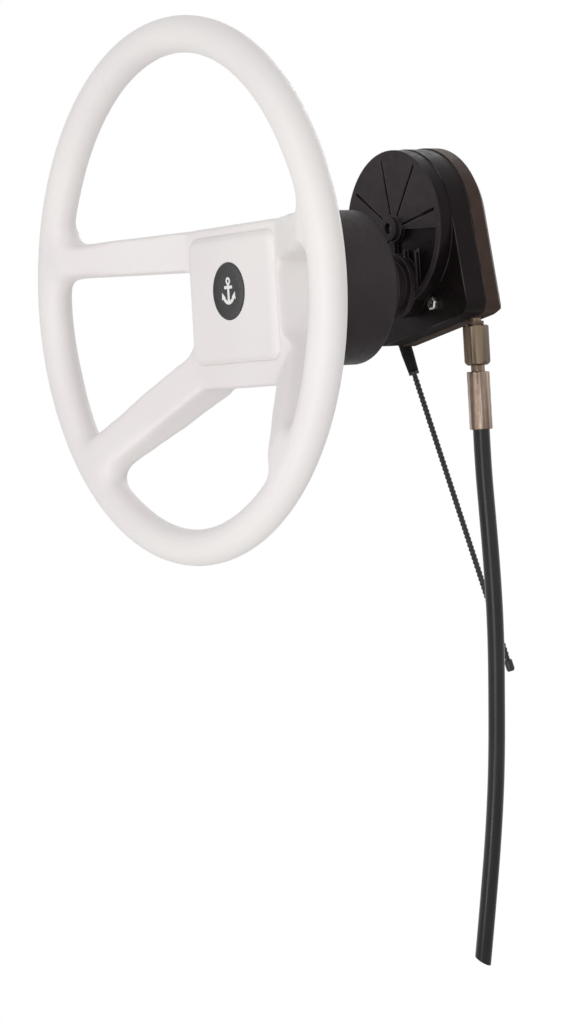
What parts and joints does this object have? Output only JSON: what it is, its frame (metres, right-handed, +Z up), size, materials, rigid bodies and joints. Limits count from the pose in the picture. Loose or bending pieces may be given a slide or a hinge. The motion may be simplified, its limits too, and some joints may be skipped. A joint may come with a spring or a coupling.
{
  "type": "boat steering helm",
  "caption": "Dished four-spoke boat steering wheel on a geared dash helm that drives the core of a hanging push-pull steering cable.",
  "frame": {"origin": "on the steering shaft's axis, at the rear face of the mounting plate, which meets the dash", "axes": "+Y along the shaft from the driver through the dash, +X to the driver's right, +Z up"},
  "size_m": [0.342, 0.2552, 0.6192],
  "materials": {
    "wheel_white": "smooth moulded plastic, warm white",
    "emblem_black": "smooth black plastic",
    "case_black": "satin black moulded plastic",
    "cover_black": "satin brownish-black moulded plastic",
    "nipple_black": "satin black plastic",
    "steel": "zinc-plated steel",
    "alloy": "plain aluminium",
    "nut_metal": "dull plated steel",
    "brown_collar": "brown fibre washer",
    "gear_brass": "machined brass",
    "bearing_plastic": "natural acetal",
    "seal_rubber": "nitrile rubber",
    "cable_black": "smooth black cable jacket",
    "core_wound": "greased steel winding, dark"
  },
  "bodies": {
    "helm": {"helm_body": "case_black", "bezel_cover": "case_black", "rear_cover": "cover_black", "tail_nipple": "nipple_black", "drum_axle": "steel", "axle_nut": "steel", "axle_washer": "steel", "cover_screws": "steel", "mount_plate": "steel", "grease_plug": "steel", "nipple_ring": "steel", "crimp_ferrule": "alloy", "neck_nut": "alloy", "coupling_nut": "nut_metal", "inlet_stub": "nut_metal", "end_fitting": "nut_metal", "inlet_collar": "brown_collar", "front_bush": "bearing_plastic", "rear_bush": "bearing_plastic", "drum_washers": "bearing_plastic", "core_guide": "bearing_plastic", "shaft_seal": "seal_rubber", "case_gasket": "seal_rubber", "cable_conduit": "cable_black", "cable_core": "core_wound", "core_tail": "core_wound"},
    "wheel": {"steering_wheel": "wheel_white", "hub_pad": "wheel_white", "emblem_disc": "emblem_black", "hub_insert": "alloy", "wheel_nut": "steel", "wheel_washer": "steel", "steering_shaft": "steel", "shaft_key": "steel", "thrust_washer": "bearing_plastic", "pinion_gear": "steel", "pinion_clip": "steel"},
    "drum": {"drum_gear": "gear_brass", "cable_drum": "alloy", "drum_bushes": "bearing_plastic", "drum_screws": "steel"},
    "core_end": {"core_tip": "core_wound"}
  },
  "joints": [
    {"name": "wheel_turn", "type": "hinge", "parent": "helm", "child": "wheel", "pos_m": [0, 0, 0], "axis": [0, 1, 0], "range_deg": [-570, 570]},
    {"name": "drum_turn", "type": "hinge", "parent": "helm", "child": "drum", "pos_m": [0, 0, 0.0375], "axis": [0, 1, 0], "range_deg": [-143, 143]},
    {"name": "core_travel", "type": "slide", "parent": "helm", "child": "core_end", "axis": [0.1531, 0.2055, -0.9666], "range_m": [-0.112, 0.112], "deforming": ["core_tail"]}
  ],
  "couplings": [
    {"joint": "drum_turn", "follows": "wheel_turn", "ratio": -0.25},
    {"joint": "core_travel", "follows": "wheel_turn", "m_per_rad": 0.01125}
  ]
}
